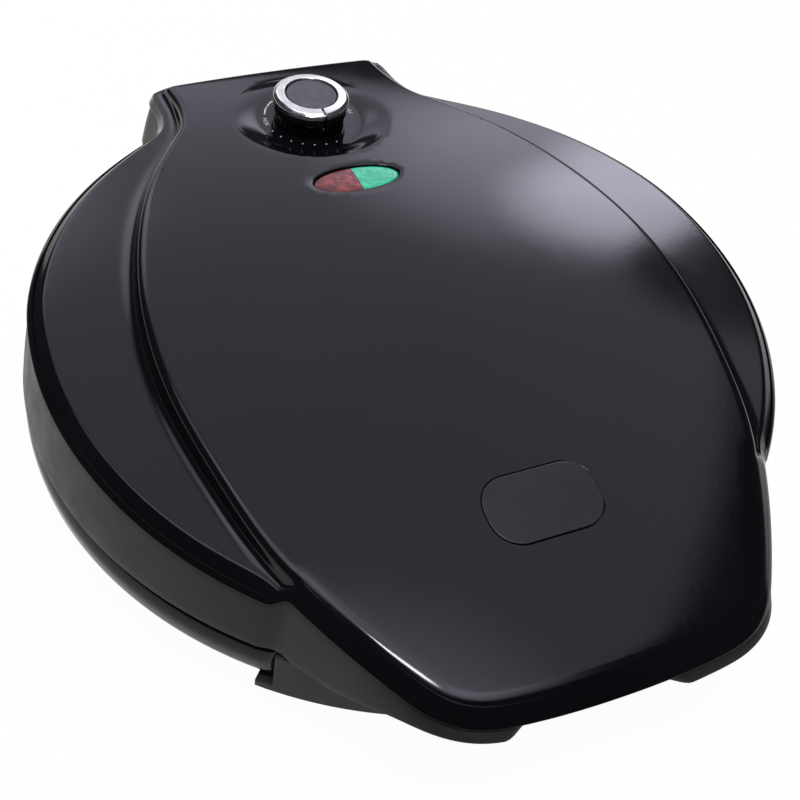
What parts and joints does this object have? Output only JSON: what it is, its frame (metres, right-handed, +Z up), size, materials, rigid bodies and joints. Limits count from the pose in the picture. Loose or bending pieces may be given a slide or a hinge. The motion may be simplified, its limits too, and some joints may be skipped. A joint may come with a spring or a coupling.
{
  "type": "electric pizza maker",
  "caption": "Round countertop pizza maker: shallow base and hinged domed lid with a wide front handle, a thermostat knob in a dish and a split pilot-lamp window.",
  "frame": {"origin": "under the middle of the overall length and width, on the plane the feet stand on", "axes": "+Z up; -Y towards the user, where the lid's handle is; +Y towards the hinge and cord gland; +X to the user's right"},
  "size_m": [0.3434, 0.3925, 0.1072],
  "materials": {
    "gloss_black": "glossy black",
    "satin_grey": "satin dark grey",
    "baking_coat": "dark non-stick coating",
    "heater_sheath": "oxidised steel sheath",
    "reflector_steel": "plain sheet steel",
    "plain_steel": "zinc-plated steel",
    "ceramic": "unglazed ceramic",
    "neon_glass": "clear glass",
    "red_lens": "translucent red",
    "green_lens": "translucent green",
    "plain_plate": "plain black film",
    "nylon": "off-white moulding",
    "rubber": "matt black",
    "knob_chrome": "polished",
    "satin_black": "satin black"
  },
  "bodies": {
    "base": {"base_housing": "satin_grey", "base_bezel": "gloss_black", "lower_plate": "baking_coat", "lower_element": "heater_sheath", "lower_reflector": "reflector_steel", "lower_clamp_1": "plain_steel", "lower_clamp_2": "plain_steel", "lower_clamp_3": "plain_steel", "lower_clamp_screw_1": "plain_steel", "lower_clamp_screw_2": "plain_steel", "lower_clamp_screw_3": "plain_steel", "lower_plate_screw_1": "plain_steel", "lower_plate_screw_2": "plain_steel", "lower_plate_screw_3": "plain_steel", "lower_thermal_fuse": "ceramic", "foot_1": "rubber", "foot_2": "rubber", "foot_3": "rubber", "foot_4": "rubber", "foot_screw_1": "plain_steel", "foot_screw_2": "plain_steel", "foot_screw_3": "plain_steel", "foot_screw_4": "plain_steel", "hinge_pin_left": "plain_steel", "hinge_pin_right": "plain_steel", "cord_gland": "rubber", "terminal_block": "nylon"},
    "lid": {"lid_cover": "gloss_black", "lid_frame": "satin_grey", "upper_plate": "baking_coat", "upper_element": "heater_sheath", "upper_reflector": "reflector_steel", "upper_clamp_1": "plain_steel", "upper_clamp_2": "plain_steel", "upper_clamp_3": "plain_steel", "upper_clamp_screw_1": "plain_steel", "upper_clamp_screw_2": "plain_steel", "upper_clamp_screw_3": "plain_steel", "upper_plate_screw_1": "plain_steel", "upper_plate_screw_2": "plain_steel", "upper_plate_screw_3": "plain_steel", "upper_thermal_fuse": "ceramic", "cover_screw_1": "plain_steel", "cover_screw_2": "plain_steel", "cover_screw_3": "plain_steel", "cover_screw_4": "plain_steel", "thermostat_bracket": "plain_steel", "thermostat_body": "ceramic", "lamp_holder": "nylon", "lamp_red": "neon_glass", "lamp_green": "neon_glass", "lens_red": "red_lens", "lens_green": "green_lens", "label_plate": "plain_plate"},
    "knob": {"thermostat_shaft": "plain_steel", "knob_body": "gloss_black", "knob_ring": "knob_chrome", "knob_cap": "satin_black"}
  },
  "joints": [
    {"name": "lid_hinge", "type": "hinge", "parent": "base", "child": "lid", "pos_m": [0, 0.18595, 0.04], "axis": [-1, 0, 0], "range_deg": [0, 95]},
    {"name": "knob_turn", "type": "hinge", "parent": "lid", "child": "knob", "pos_m": [0, 0.13275, 0.1], "axis": [0, 0, 1], "range_deg": [-140, 100]}
  ]
}
